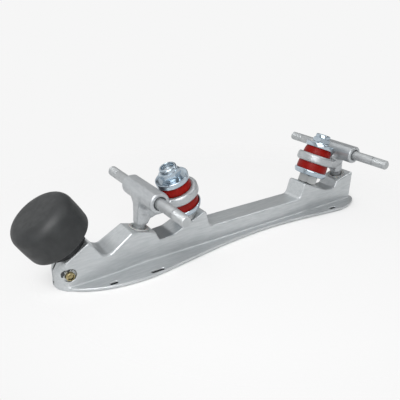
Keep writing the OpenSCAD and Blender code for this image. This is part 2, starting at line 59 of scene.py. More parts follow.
# Sizes of the solids that the dressed pieces follow, in millimetres and radians
AXLE_X, AXLE_H = 102.0, 53.2
KINGPIN_X, SEAT_H, KINGPIN_LEAN = 66.0, 25.5, math.radians(21)
PIVOT_X, PIVOT_H, PIVOT_LEAN, BALL_DEPTH = 108.7, 26.9, math.radians(14.5), 3.4
STOP_X, STOP_H, STOP_LEAN = 160.7, 26.6, math.radians(31.8)
NOSE_X, HEEL_X = 174.2, -124.0
FLANGE_T, SPINE_W, TOE_BOSS_W = 3.0, 19.8, 24.2
RECESS_H, VALLEY_H, POCKET_WALL = 16.6, 17.8, 3.8
SEAT_RISE = 1.3
RING_H, RING_T, RING_D, RING_SEAT = 24.6, 8.0, 33.0, 1.0
RING_LOW, RING_HIGH = RING_H - RING_T / 2, RING_H + RING_T / 2
BARREL_R, BARREL_HALF = 7.8, 22.5
AXLE_R, AXLE_GRIP_R = 4.0, 4.5
KINGPIN_R, KINGPIN_DEPTH, NUT_BORE = 4.75, 17, 4.78
# The stack on the kingpin: heights above its seat, the sheet of its cups, the play at a cushion
JAM_NUT_TOP, UPPER_CUP_H, CUP_SHEET, CUSHION_PLAY = 8.8, 36.0, 1.6, 0.05
CUP_R, CUP_INNER_R = 15.0, 14.05
CUP_SOCKET_R, CUP_SOCKET_DEPTH = 6.63, 6.2
# The toe stop: its stem's radius and depth, and how thick its nut and its washer are
STEM_R, STEM_DEPTH, STOP_NUT_T, WASHER_T = 8.0, 20.5, 6.4, 2.5
# The clamp's bore across the toe boss, how far above it the counterbore of the screw's head lies, and
# that counterbore's floor, out from the middle of the plate
CLAMP_X, CLAMP_H, COUNTERBORE_RISE, COUNTERBORE_FLOOR = NOSE_X - 8.3, 10.9, 1.1, 9.9
# How far the screw lies back and down from the bore's middle
SCREW_BACK, SCREW_DOWN = 0.6, 0.2
# The slots in the flange: the middle along and across the plate, and the length
SOLE_SLOTS = [(STOP_X - 21.4, 22.6, 6.3), (AXLE_X + 4.3, 24.9, 11.0), (-(AXLE_X - 15.8), 18.5, 8.5)]
SLOT_W = 3.2


# Materials

def linear(hex_code):
    """An sRGB hex colour as linear RGBA."""
    parts = [int(hex_code[i:i + 2], 16) / 255 for i in (1, 3, 5)]
    return [c / 12.92 if c <= 0.04045 else ((c + 0.055) / 1.055) ** 2.4 for c in parts] + [1.0]


def add(tree, kind, links=None, **settings):
    """Adds a node, sets its properties, and sets or links its inputs."""
    made = tree.nodes.new(kind)
    for key, value in settings.items():
        setattr(made, key, value)
    for key, value in (links or {}).items():
        if isinstance(value, bpy.types.NodeSocket):
            tree.links.new(value, made.inputs[key])
        else:
            made.inputs[key].default_value = value
    return made


def new_material(name, **constants):
    """A Principled material whose constants sit on the shader's own sockets."""
    mat = bpy.data.materials.new(name)
    mat.use_nodes = True
    tree = mat.node_tree
    shader = tree.nodes["Principled BSDF"]
    for key, value in constants.items():
        shader.inputs[key.replace("_", " ")].default_value = value
    where = add(tree, "ShaderNodeTexCoord").outputs["Object"]
    return mat, tree, shader, where


# Most of a noise lies between these two values
NOISE_LOW, NOISE_HIGH = 0.3, 0.7


def surface(name, tones, mottle, grain, depth_mm, shine=None, rough=None, drawn_out=None, dulled=None,
            **constants):
    """A material from layers of noise, each given by the size of its features in mm and its detail.

    The mottle mixes the two tones, the grain stands up by its depth, and the shine moves the
    roughness between the two values of rough. A layer named in drawn_out is scaled along the axes
    first. Where a piece's attribute of painted shade is 1, the surface has the darker tone of painted
    shade.
    """
    mat, tree, shader, where = new_material(name, **constants)
    noises = {}
    for layer, pattern in (("mottle", mottle), ("grain", grain), ("shine", shine)):
        if not pattern:
            continue
        place = where
        if drawn_out and layer in drawn_out:
            place = add(tree, "ShaderNodeMapping",
                        {"Vector": where, "Scale": drawn_out[layer]}).outputs["Vector"]
        size_mm, detail = pattern
        noises[layer] = add(tree, "ShaderNodeTexNoise", {
            "Vector": place, "Scale": 1 / (size_mm * MM), "Detail": detail,
            "Roughness": 0.55}).outputs["Fac"]
    share = add(tree, "ShaderNodeMapRange", {
        "Value": noises["mottle"], "From Min": NOISE_LOW, "From Max": NOISE_HIGH}).outputs["Result"]
    tone = add(tree, "ShaderNodeMix", {0: share, 6: linear(tones[0]), 7: linear(tones[1])},
               data_type="RGBA").outputs[2]
    # Painted shade: where the attribute is 1 the tone turns to the darker shade tone
    if dulled:
        valley_shade = add(tree, "ShaderNodeAttribute", attribute_name="valley_shade").outputs["Fac"]
        tone = add(tree, "ShaderNodeMix", {0: valley_shade, 6: tone, 7: linear(dulled)},
                   data_type="RGBA").outputs[2]
    tree.links.new(tone, shader.inputs["Base Color"])
    if shine:
        level = add(tree, "ShaderNodeMapRange", {
            "Value": noises["shine"], "From Min": NOISE_LOW, "From Max": NOISE_HIGH,
            "To Min": rough[0], "To Max": rough[1]}).outputs["Result"]
        tree.links.new(level, shader.inputs["Roughness"])
    relief = add(tree, "ShaderNodeBump", {
        "Height": noises["grain"], "Strength": 1.0, "Distance": depth_mm * MM}).outputs["Normal"]
    tree.links.new(relief, shader.inputs["Normal"])
    return mat


# Die-cast aluminium tumbled with stones: satin grey, with an even grain that is drawn at 0.4 mm so
# that it shows, and faint cloudy streaks along the casting where the stones dragged the grain out.
# The floors of the valleys are painted darker: painted shade where the trucks stand over them
TUMBLED = {"mottle": (1.6, 4), "grain": (0.4, 2), "depth_mm": 0.014, "shine": (3, 5),
           "rough": (0.32, 0.4), "dulled": "#7c8083", "Metallic": 0.6}
ALUMINIUM = surface("tumbled_plate_casting", ("#adb2b4", "#bfc2c4"),
                    drawn_out={"mottle": (0.14, 1.0, 1.0)}, **TUMBLED)
HANGER = surface("tumbled_hanger_casting", ("#a1a5a8", "#b0b3b5"),
                 drawn_out={"mottle": (1.0, 0.3, 1.0)}, **TUMBLED)

# Painted shade for the plate's slit, slots, counterbore and pockets: dull, dark grey and a little rough
HOLLOW_SHADE = surface("hollow_painted_shade", ("#3c3e40", "#4c4e50"), mottle=(2, 3), grain=(0.5, 2), depth_mm=0.03,
               Metallic=0.5, Roughness=0.7)

# Zinc plating with a blue passivate over pressed and turned steel: bright, cool and a little wavy
ZINC = surface("blue_zinc_plate", ("#a7b4bf", "#b9c4cc"), mottle=(6, 3), grain=(2.2, 3),
               depth_mm=0.004, shine=(3, 4), rough=(0.15, 0.24), Metallic=0.95)

# Zinc plating with a clear passivate on the jam nuts: greyer, and duller from wear
CLEAR_ZINC = surface("clear_zinc_plate", ("#a3a6a7", "#b3b5b5"), mottle=(6, 3), grain=(2.2, 3),
                     depth_mm=0.004, shine=(3, 4), rough=(0.3, 0.42), Metallic=0.95)

# Centreless ground steel: a soft sheen from rings around the wheel axle, which runs along Y. The
# real rings are much finer than the 0.25 mm drawn here. The pattern changes along Y alone
GRINDING = (0.02, 1.0, 0.02)
STEEL = surface("ground_steel", ("#acafb1", "#babdbe"), mottle=(6, 2), grain=(0.25, 2), depth_mm=0.002,
                shine=(0.25, 2), rough=(0.44, 0.56), drawn_out={"grain": GRINDING, "shine": GRINDING},
                Metallic=0.85)

# Steel hardware with an oiled black oxide finish: near black, with a low sheen
BLACK = surface("black_oxide_steel", ("#1b1c1e", "#2b2d2f"), mottle=(3, 3), grain=(0.6, 2),
                depth_mm=0.01, Metallic=0.6, Roughness=0.4)

# Zinc plating with a yellow passivate, on the pinch screw: pale brassy, uneven from one spot to the next
YELLOW = surface("yellow_zinc_plate", ("#9a8b5e", "#b5aa84"), mottle=(1.5, 3), grain=(0.8, 2),
                 depth_mm=0.01, Metallic=0.8, Roughness=0.3)

# Poured polyurethane: deep red, satin from the mould, light goes a little way in
URETHANE = surface("cast_red_urethane", ("#730802", "#820b04"), mottle=(5, 3), grain=(0.7, 2),
                   depth_mm=0.012, shine=(3, 3), rough=(0.32, 0.48), Specular_IOR_Level=0.15,
                   Subsurface_Weight=0.06, Subsurface_Scale=0.0012,
                   Subsurface_Radius=(1.0, 0.12, 0.08))

# Compression-moulded carbon black rubber: matt, with a faint grey bloom
RUBBER = surface("moulded_black_rubber", ("#1c1e1f", "#262829"), mottle=(7, 4), grain=(0.35, 2),
                 depth_mm=0.025, shine=(4, 3), rough=(0.46, 0.6), Specular_IOR_Level=0.45)

# Injection-moulded nylon without dye: greyish and a little translucent
NYLON = surface("natural_nylon", ("#87898a", "#939593"), mottle=(3, 2), grain=(0.6, 2), depth_mm=0.008,
                Roughness=0.42, Subsurface_Weight=0.1, Subsurface_Scale=0.001)

FINISH = {"plate_aluminium": ALUMINIUM, "cast_aluminium": HANGER, "zinc": ZINC, "steel": STEEL,
          "black_steel": BLACK, "yellow_zinc": YELLOW, "urethane": URETHANE, "rubber": RUBBER,
          "cup_nylon": NYLON}
SLOT_OF = {part["node"]: part["material_slot"] for part in frame["record"]["subparts"]}
for node_name, solid in frame["nodes"].items():
    solid.data.materials.clear()
    solid.data.materials.append(FINISH[SLOT_OF[node_name]])


# Meshes

def leaning(x, z, lean):
    """Places a piece drawn along +Z at (x, 0, z), leaning toward the toe."""
    return Matrix.Translation((x, 0, z)) @ Matrix.Rotation(lean, 4, "Y")


ON_KINGPIN = leaning(KINGPIN_X, SEAT_H, KINGPIN_LEAN)
ON_PIVOT = leaning(PIVOT_X, PIVOT_H - BALL_DEPTH * math.cos(PIVOT_LEAN), -PIVOT_LEAN)
ON_STOP = leaning(STOP_X, STOP_H, STOP_LEAN)
ALONG_AXLE = Matrix.Translation((AXLE_X, 0, AXLE_H)) @ Matrix.Rotation(math.pi / 2, 4, "X")
IN_CLAMP = (Matrix.Translation((CLAMP_X - SCREW_BACK, 0, CLAMP_H - SCREW_DOWN))
            @ Matrix.Rotation(-math.pi / 2, 4, "X"))
MIRRORED = Matrix.Scale(-1, 4, (1, 0, 0))


def in_scene(name, data):
    """A new object, in the scene's own collection."""
    made = bpy.data.objects.new(name, data)
    bpy.context.scene.collection.objects.link(made)
    return made


def plain_mesh(host):
    """The mesh that an object's modifier makes. The object itself goes."""
    bpy.context.view_layer.update()
    mesh = bpy.data.meshes.new_from_object(
        host.evaluated_get(bpy.context.evaluated_depsgraph_get()))
    bpy.data.objects.remove(host)
    return mesh


def sharpen(mesh, degrees):
    """Keeps the edges over an angle sharp and the rest smooth."""
    bm = bmesh.new()
    bm.from_mesh(mesh)
    for edge in bm.edges:
        edge.smooth = len(edge.link_faces) == 2 and edge.calc_face_angle(0) < math.radians(degrees)
    bm.to_mesh(mesh)
    bm.free()


def dress(name, mesh, body, node, place=Matrix.Identity(4), sharp=None):
    """Puts a finished millimetre mesh in its place and has it stand for its solid."""
    if sharp:
        sharpen(mesh, sharp)
    mesh.transform(Matrix.Scale(MM, 4) @ place)
    if place.determinant() < 0:
        mesh.flip_normals()
    mesh.polygons.foreach_set("use_smooth", [True] * len(mesh.polygons))
    piece = in_scene(name, mesh)
    mesh.materials.clear()
    mesh.materials.append(FINISH[SLOT_OF[node]])
    if body:
        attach(piece, body)
    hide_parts(node)
    return piece


def arc(cx, cy, r, start, end, steps=6):
    """Points on an arc, its angles in degrees."""
    angles = [math.radians(start + (end - start) * i / steps) for i in range(steps + 1)]
    return [(cx + r * math.cos(a), cy + r * math.sin(a)) for a in angles]


def rounded(points, radii, steps):
    """A closed outline with each corner turned into an arc of its radius, where its sides have room."""
    straight, most = math.radians(89), 0.49
    out = []
    count = len(points)
    for i, corner in enumerate(points):
        here = Vector(corner)
        back, on = Vector(points[i - 1]) - here, Vector(points[(i + 1) % count]) - here
        half = back.angle(on) / 2
        if radii[i] <= 0 or half > straight:
            out.append(corner)
            continue
        reach = min(radii[i] / math.tan(half), most * back.length, most * on.length)
        r = reach * math.tan(half)
        a, b = here + back.normalized() * reach, here + on.normalized() * reach
        centre = here + (back.normalized() + on.normalized()).normalized() * (r / math.sin(half))
        first, last = a - centre, b - centre
        turn = first.angle_signed(last)
        for k in range(steps + 1):
            out.append(tuple(centre + Matrix.Rotation(-turn * k / steps, 2) @ first))
    return out


def body_of_rows(rows, merged_mm=1e-5):
    """A closed body from rows of (radius, height) points, one row for each step around Z."""
    bm = bmesh.new()
    rings = []
    for j, row in enumerate(rows):
        a = 2 * math.pi * j / len(rows)
        rings.append([bm.verts.new((r * math.cos(a), r * math.sin(a), z)) for r, z in row])
    for j, here in enumerate(rings):
        there = rings[(j + 1) % len(rings)]
        for i in range(len(here)):
            k = (i + 1) % len(here)
            bm.faces.new((here[i], there[i], there[k], here[k]))
    bmesh.ops.remove_doubles(bm, verts=bm.verts, dist=merged_mm)
    bmesh.ops.recalc_face_normals(bm, faces=bm.faces)
    mesh = bpy.data.meshes.new("body")
    bm.to_mesh(mesh)
    bm.free()
    return mesh


def turned(profile, segments=96):
    """A body turned from a profile of (radius, height) points around Z."""
    return body_of_rows([profile] * segments)


def joined(*meshes):
    """One mesh from several."""
    bm = bmesh.new()
    for mesh in meshes:
        bm.from_mesh(mesh)
    mesh = bpy.data.meshes.new("joined")
    bm.to_mesh(mesh)
    bm.free()
    return mesh


def moved(mesh, matrix):
    """The same mesh in another place; the matrix doesn't mirror it."""
    mesh.transform(matrix)
    return mesh


# Cast pieces, drawn as distance fields and meshed

def outline_distance(u, v, points):
    """Signed distance to a closed outline, negative inside. Edges far from the span of u are left out."""
    reach = 12.0
    low, high = u.min() - reach, u.max() + reach
    shape = np.broadcast(u, v).shape
    best = np.full(shape, reach * reach)
    inside = np.zeros(shape, bool)
    for i, (x1, y1) in enumerate(points):
        x0, y0 = points[i - 1]
        ex, ey = x1 - x0, y1 - y0
        length = ex * ex + ey * ey
        if length < 1e-12 or max(x0, x1) < low or min(x0, x1) > high:
            continue
        du, dv = u - x0, v - y0
        t = np.clip((du * ex + dv * ey) / length, 0, 1)
        best = np.minimum(best, (du - ex * t) ** 2 + (dv - ey * t) ** 2)
        if x0 != x1:
            inside ^= ((u < x0) != (u < x1)) & (v < y0 + ey * du / ex)
    return np.where(inside, -1.0, 1.0) * np.sqrt(best)


def both(a, b, r=0.0):
    """Where two shapes overlap, its outer edge rounded by r."""
    if r <= 0:
        return np.maximum(a, b)
    return np.minimum(-r, np.maximum(a, b)) + np.hypot(np.maximum(a + r, 0), np.maximum(b + r, 0))


def either(a, b, r=0.0):
    """Two shapes as one, with a fillet of radius r between them."""
    if r <= 0:
        return np.minimum(a, b)
    return np.maximum(r, np.minimum(a, b)) - np.hypot(np.maximum(r - a, 0), np.maximum(r - b, 0))


def without(a, b, r=0.0):
    """One shape with another cut out of it."""
    return both(a, -b, r)


def slab(v, low, high):
    """What lies between two heights."""
    return np.maximum(low - v, v - high)


def onto(matrix, x, y, z):
    """World points in a placed piece's own axes."""
    m = matrix.inverted()
    return tuple(m[i][0] * x + m[i][1] * y + m[i][2] * z + m[i][3] for i in range(3))


def surface_cells(values):
    """Surface nets: a point in each cell that the surface crosses, and the quads between them."""
    inside = values < 0
    shape = tuple(n - 1 for n in values.shape)
    corners = [(i, j, k) for i in (0, 1) for j in (0, 1) for k in (0, 1)]

    def cut(array, corner):
        return array[tuple(slice(c, c + n) for c, n in zip(corner, shape))]

    count = sum(cut(inside, c).astype(np.int8) for c in corners)
    cells = np.argwhere((count > 0) & (count < 8))
    number = np.full(shape, -1, np.int64)
    number[tuple(cells.T)] = np.arange(len(cells))
    total, hits = np.zeros((len(cells), 3)), np.zeros(len(cells))
    for axis in range(3):
        step = np.eye(3, dtype=int)[axis]
        for corner in corners:
            if corner[axis]:
                continue
            a = values[tuple((cells + corner).T)]
            b = values[tuple((cells + corner + step).T)]
            crossed = (a < 0) != (b < 0)
            t = np.where(crossed, a / np.where(crossed, a - b, 1), 0)
            total += np.where(crossed[:, None], np.array(corner) + t[:, None] * step, 0)
            hits += crossed
    points = cells + total / hits[:, None]
    quads = []
    for axis in range(3):
        a = np.moveaxis(inside, axis, 0)
        change = a[:-1, 1:-1, 1:-1] != a[1:, 1:-1, 1:-1]
        at = np.argwhere(change)
        at[:, 1:] += 1
        enters = a[tuple(at.T)]
        table = np.moveaxis(number, axis, 0)
        quad = np.stack([table[at[:, 0], at[:, 1] - p, at[:, 2] - q]
                         for p, q in ((1, 1), (0, 1), (0, 0), (1, 0))], 1)
        turn = enters if axis != 1 else ~enters
        quads.append(np.where(turn[:, None], quad, quad[:, ::-1]))
    return points, np.concatenate(quads)


def rows_of(items, what):
    """One three-part property of a mesh's points or faces, as rows."""
    values = np.empty(len(items) * 3)
    items.foreach_get(what, values)
    return values.reshape(-1, 3)


def cast(shape, low, high, step, faces):
    """Meshes a distance field and pulls each point onto the true surface; gives the normals too."""
    slices, run_length, probe, flattest, passes = 24, 6000, 0.004, 0.2, 2
    axes = [np.arange(a - 2 * step, b + 2.5 * step, step) for a, b in zip(low, high)]
    x, y, z = np.meshgrid(*axes, indexing="ij", sparse=True)
    values = np.concatenate([shape(part, y, z) for part in np.array_split(x, slices)])
    points, quads = surface_cells(values)
    points = points * step + np.array([a[0] for a in axes])

    def sample(p):
        """The field and its slope at scattered points, taken in short runs along the piece."""
        out = np.empty((len(p), 4))
        for run in np.array_split(np.argsort(p[:, 0]), max(1, len(p) // run_length)):
            here = shape(*p[run].T)
            steps = [shape(*(p[run] + probe * row).T) - here for row in np.eye(3)]
            out[run] = np.stack([here] + [d / probe for d in steps], 1)
        return out[:, 0], out[:, 1:]

    for _ in range(passes):
        value, slope = sample(points)
        steepness = np.maximum((slope * slope).sum(1), flattest)
        points -= slope * np.clip(value / steepness, -step / 2, step / 2)[:, None]
    mesh = bpy.data.meshes.new("cast")
    mesh.from_pydata(points.tolist(), [], quads.tolist())
    if len(quads) * 2 > faces:
        thinned = in_scene("thinned", mesh)
        thinned.modifiers.new("thin", "DECIMATE").ratio = faces / (2 * len(quads))
        mesh = plain_mesh(thinned)
    # No point may stand out past the piece's own box
    points = np.clip(rows_of(mesh.vertices, "co"), low, high)
    mesh.vertices.foreach_set("co", points.ravel())
    normals = sample(points)[1]
    normals /= np.maximum(np.linalg.norm(normals, axis=1)[:, None], 1e-9)
    return mesh, normals


def dress_casting(name, cast_mesh, body, node, mirror=False, shaded_faces=None, valley_shade=None):
    """Dresses a node with a cast mesh, with one function telling the faces that get painted shade and
    another how much painted shade darkens each point.
    """
    mesh, normals = cast_mesh
    mesh = mesh.copy()
    centres = rows_of(mesh.polygons, "center")
    # Painted shade for the valley floors, carried as a point attribute
    if valley_shade:
        layer = mesh.attributes.new("valley_shade", "FLOAT", "POINT")
        layer.data.foreach_set("value", valley_shade(*rows_of(mesh.vertices, "co").T).astype(np.float32))
    if mirror:
        normals = normals * (-1, 1, 1)
    dress(name, mesh, body, node, MIRRORED if mirror else Matrix.Identity(4))
    mesh.normals_split_custom_set_from_vertices(normals.tolist())
    # Faces in the hollows take the dark material of painted shade
    if shaded_faces:
        mesh.materials.append(HOLLOW_SHADE)
        mesh.polygons.foreach_set("material_index", shaded_faces(*centres.T).astype(np.int32))


def curve_run(p, steps):
    """Points of a cubic curve, without its last one."""
    out = []
    for i in range(steps):
        t = i / steps
        w = ((1 - t) ** 3, 3 * (1 - t) ** 2 * t, 3 * (1 - t) * t * t, t ** 3)
        out.append((sum(a * q[0] for a, q in zip(w, p)), sum(a * q[1] for a, q in zip(w, p))))
    return out


def flange_outline():
    """The sole flange from above: wide under the toe and the heel, and narrow in the waist."""
    toe_x, waist_x, heel_x = AXLE_X + 13, -8.0, -(AXLE_X - 10)
    toe, waist, heel, nose, end = 28.4, 15.2, 22.8, 6.3, 8.0
    side = curve_run([(NOSE_X, 0), (NOSE_X, nose), (toe_x + 46.6, toe), (toe_x, toe)], 22)
    side += curve_run([(toe_x, toe), (toe_x - 20.5, toe), (waist_x + 55.7, waist), (waist_x, waist)], 18)
    side += curve_run([(waist_x, waist), (waist_x - 33.4, waist), (heel_x + 8, heel), (heel_x, heel)], 14)
    side += curve_run([(heel_x, heel), (heel_x - 18.3, heel), (HEEL_X, end + 5), (HEEL_X, end)], 12)
    side.append((HEEL_X, end))
    return side + [(x, -y) for x, y in reversed(side[1:])]


def seat_z(x):
    """Height of the kingpin's seat."""
    return SEAT_H + (KINGPIN_X - x) * math.tan(KINGPIN_LEAN)


def boss_z(x):
    """Height of the pivot boss's sloping top."""
    return PIVOT_H + (x - PIVOT_X + BALL_DEPTH * math.sin(PIVOT_LEAN)) * math.tan(PIVOT_LEAN)


def face_z(x):
    """Height of the toe stop's face."""
    return STOP_H - (x - STOP_X) * math.tan(STOP_LEAN)


def spine_profile():
    """Side view of the spine from heel to toe, with its hollows and edges rounded."""
    hollow, dip, seat_edge, edge, below = 5.0, 3.0, 2.4, 1.6, -5

    def half(boss_end):
        """From the recess out to the end of a pivot boss, as x, height and rounding."""
        seat_in, seat_out = KINGPIN_X - 12, KINGPIN_X + 17.5
        boss_in, boss_out = PIVOT_X - 10, PIVOT_X + boss_end
        return [(seat_in - 4, RECESS_H, hollow), (seat_in, seat_z(seat_in) + SEAT_RISE, seat_edge),
                (seat_out, seat_z(seat_out), hollow), (boss_in - 3, VALLEY_H, dip),
                (boss_in, boss_z(boss_in), edge), (boss_out, boss_z(boss_out), edge)]

    valley_x, peak_x, end_x = STOP_X - 23.5, STOP_X - 9.8, STOP_X + 7.6
    toe = [(valley_x, VALLEY_H, hollow), (valley_x + 5, VALLEY_H + 2.4, hollow),
           (peak_x, face_z(peak_x), edge), (end_x, face_z(end_x), edge), (NOSE_X, 12.6, edge),
           (NOSE_X, below, 0)]
    back = HEEL_X + 4
    heel = [(back - 1, below, 0), (back, 6, edge)]
    rear = [(-x, z, r) for x, z, r in reversed(half(11.3))]
    corners = heel + rear + half(9.6) + toe
    return rounded([(x, z) for x, z, _ in corners], [r for _, _, r in corners], 8)


def slot_distance(x, y, slot):
    """Signed distance to a pair of slots in the flange, seen from above."""
    slot_x, slot_y, length = slot
    along = np.maximum(np.abs(x - slot_x) - (length - SLOT_W) / 2, 0)
    return np.hypot(along, np.abs(y) - slot_y) - SLOT_W / 2


def in_plate_painted_shade(x, y, z):
    """Where the plate gets painted shade: the clamp's slit, the slots, the counterbore, the pockets."""
    slit_half_w, slit_from, slit_foot, slit_rim = 0.95, STOP_X - 12, 0.2, 0.3
    slot_wall, slot_rim = 0.15, 0.75
    hollow = np.abs(y) < slit_half_w
    hollow &= (x > slit_from) & (z < face_z(x) - slit_rim) & (z > slit_foot)
    for slot in SOLE_SLOTS:
        hollow |= (slot_distance(x, y, slot) < slot_wall) & (z < FLANGE_T - slot_rim)
    # A crescent of painted shade lies on the upper wall of the counterbore, above the screw's head
    across, up = x - CLAMP_X, z - CLAMP_H - COUNTERBORE_RISE
    crescent = (np.hypot(across, up) < 5.1) & (np.hypot(across + 0.9, up + 2.2) > 4.9) & (up > -1.5)
    hollow |= crescent & (y > 0) & (y < TOE_BOSS_W / 2 - 0.2)
    end, side, foot, top = 50, 6.4, 0.5, 12.2
    pockets = (np.abs(x) < end) & (np.abs(y) < side) & (z > foot) & (z < top)
    return hollow | pockets


def smooth_between(v, low, high):
    """Rises smoothly from 0 to 1 between two values."""
    t = np.clip((v - low) / (high - low), 0, 1)
    return t * t * (3 - 2 * t)


def plate_valley_shade(x, y, z):
    """How much painted shade darkens the valley floors: 1 in the valley of the front truck, less in the
    other two.
    """
    along = np.abs(x)
    trucks = smooth_between(along, KINGPIN_X + 15, KINGPIN_X + 20)
    trucks *= 1 - smooth_between(along, PIVOT_X - 11.5, PIVOT_X - 9.5)
    toe = 0.5 * smooth_between(x, STOP_X - 34, STOP_X - 26)
    toe *= 1 - smooth_between(x, STOP_X - 18, STOP_X - 12)
    on_floor = (np.abs(y) < SPINE_W / 2 - 0.6) & (z > 14)
    return (trucks * np.where(x > 0, 1.0, 0.4) + toe) * on_floor


def plate_shape():
    """The plate: flange, spine and toe boss in one casting, with its slots, pockets and bores."""
    flange_line, spine_line = flange_outline(), spine_profile()
    flange_rim, flare_from, flare_to = 0.3, PIVOT_X + 1, STOP_X - 18
    pocket_len, pocket_step, half_web, pocket_corner = 19.0, 22.0, 6, 2.5
    pocket_half_w, pocket_top = SPINE_W / 2 - POCKET_WALL, RECESS_H - POCKET_WALL
    slit_half_w, slit_end = 0.8, STOP_X - STEM_DEPTH * math.sin(STOP_LEAN)
    kingpin_bore, stem_hole_end, screw_bore, screw_end, head_bore = 4.8, -22, 2.53, -9.0, 4.8

    def shape(x, y, z):
        flange = outline_distance(x, y, flange_line) - flange_rim
        base = both(both(flange, z - FLANGE_T, 0.6), -z, 2.0)
        t = np.clip((x - flare_from) / (flare_to - flare_from), 0, 1)
        half_w = SPINE_W / 2 + (TOE_BOSS_W - SPINE_W) / 2 * (1 - np.cos(np.pi * t)) / 2
        sides = both(np.abs(y) - half_w, flange, 1.0)
        spine = both(both(outline_distance(x, z, spine_line), sides, 1.4), -z, 0.3)
        out = either(base, spine, 1.0)
        for slot in SOLE_SLOTS:
            out = without(out, slot_distance(x, y, slot) + 0.2, 0.6)
        for middle in (half_web + pocket_len / 2, half_web + pocket_len / 2 + pocket_step):
            a = np.abs(np.abs(x) - middle) - pocket_len / 2 + pocket_corner
            b = np.abs(y) - pocket_half_w + pocket_corner
            pocket = np.hypot(np.maximum(a, 0), np.maximum(b, 0)) - pocket_corner
            pocket += np.minimum(np.maximum(a, b), 0)
            out = without(out, both(pocket, z - pocket_top, 1.2), 0.4)
        for sign in (-1, 1):
            u, v, w = onto(ON_KINGPIN, sign * x, y, z)
            out = without(out, both(np.hypot(u, v) - kingpin_bore, -KINGPIN_DEPTH - w), 0.3)
            u, v, w = onto(ON_PIVOT, sign * x, y, z)
            out = without(out, both(np.hypot(u, v) - CUP_SOCKET_R, -CUP_SOCKET_DEPTH - w), 0.4)
        u, v, w = onto(ON_STOP, x, y, z)
        out = without(out, both(np.hypot(u, v) - STEM_R, stem_hole_end - w), 0.5)
        out = without(out, both(np.abs(y) - slit_half_w, slit_end - x), 0.25)
        a, b = x - CLAMP_X, z - CLAMP_H
        out = without(out, both(np.hypot(a, b) - screw_bore, screw_end - y), 0.2)
        counterbore = both(np.hypot(a, b - COUNTERBORE_RISE) - head_bore, COUNTERBORE_FLOOR - y, 0.3)
        return without(out, counterbore, 0.2)

    return shape


def hanger_shape():
    """Barrel, leaning ring and flared arm of the front truck, in one casting."""
    lean_cos, lean_sin = math.cos(KINGPIN_LEAN), math.sin(KINGPIN_LEAN)

    def beside_kingpin(out, up):
        """A point of the side view, given out from the kingpin and up along it."""
        return (KINGPIN_X + out * lean_cos + up * lean_sin, SEAT_H - out * lean_sin + up * lean_cos)

    ring_side = RING_D / 2 - 1.2
    foot = AXLE_H - BARREL_R
    arm = [beside_kingpin(ring_side, RING_HIGH - 0.4), beside_kingpin(ring_side, RING_HIGH + 3),
           (AXLE_X - 5, AXLE_H + 1), (AXLE_X + 6.8, AXLE_H + 1), (AXLE_X + 8.3, foot - 3),
           (PIVOT_X + 1.8, PIVOT_H + 4.6), (PIVOT_X - 6.4, PIVOT_H + 3.6),
           (AXLE_X - 2.4, PIVOT_H + 7.6), (AXLE_X - 4, PIVOT_H + 11),
           beside_kingpin(ring_side, RING_LOW)]
    arm_line = rounded(arm, [1, 2, 1, 1, 6, 1.5, 1.5, 5, 6, 1.5], 5)
    barrel_flat, grip_bore, end_bore, end_bore_from = 7.1, 4.53, 4.9, 21.5
    # The neck narrows from the ring's full width to the arm's
    neck_from, neck_to, ring_half_w, arm_half_w = 4, 28, 15.0, 4.9
    arm_thin, arm_flare, arm_flare_from, arm_flare_rise = 4.1, 1.6, PIVOT_H + 8, 14
    pin_r, pin_taper, pin_len, ball_r = 4.1, 0.02, 14, 4.5
    # What is cut out around the kingpin: its hole, the seats of the two cushions and the room around the
    # upper cup. Each has its radius, its two ends along the kingpin and the rounding of its rim
    below, above = RING_LOW - 9, RING_HIGH + 22
    cuts = ((7.0, 10, UPPER_CUP_H, 0.5), (14.05, below, RING_LOW + RING_SEAT, 0.4),
            (13.15, RING_HIGH - RING_SEAT, above, 0.4), (14.8, RING_HIGH, above, 0.6))

    def shape(x, y, z):
        a, b = x - AXLE_X, z - AXLE_H
        from_axle = np.hypot(a, b)
        barrel = both(from_axle - BARREL_R, np.abs(y) - BARREL_HALF, 1.6)
        barrel = both(barrel, b - barrel_flat, 0.4)
        u, v, w = onto(ON_KINGPIN, x, y, z)
        out_r = np.hypot(u, v)
        ring = both(out_r - RING_D / 2, slab(w, RING_LOW, RING_HIGH), 2.4)
        t = np.clip((u - neck_from) / (neck_to - neck_from), 0, 1)
        half_w = ring_half_w + (arm_half_w - ring_half_w) * t
        # The slanted sides' field is a little too steep, so it is scaled down
        neck = both(np.abs(v) - half_w, slab(u, neck_from - 1, neck_to)) * 0.93
        neck = both(neck, slab(w, RING_LOW, RING_HIGH), 1.5)
        web_line = outline_distance(x, z, arm_line)
        neck = both(neck, web_line - 1.5, 1.0)
        # The arm widens into the barrel and narrows to the pivot pin
        lift = np.clip((z - arm_flare_from) / arm_flare_rise, 0, 1)
        web = both(web_line, np.abs(y) - arm_thin - arm_flare * lift ** 2, 1.4)
        u, v, w_pin = onto(ON_PIVOT, x, y, z)
        pin = both(np.hypot(u, v) - pin_r - pin_taper * w_pin, slab(w_pin, 0, pin_len), 0.3)
        pin = either(pin, np.sqrt(u * u + v * v + w_pin * w_pin) - ball_r, 0.6)
        out = either(either(barrel, either(web, pin, 2.5), 4.0), either(ring, neck, 3.0), 2.0)
        for cut_r, low, high, rim in cuts:
            out = without(out, both(out_r - cut_r, slab(w, low, high)), rim)
        out = without(out, from_axle - grip_bore, 0.2)
        return without(out, both(from_axle - end_bore, end_bore_from - np.abs(y)), 0.5)

    return shape


plate_cast = cast(plate_shape(), (HEEL_X, -29, 0), (NOSE_X, 29, 36),
                  step=0.6, faces=150000)
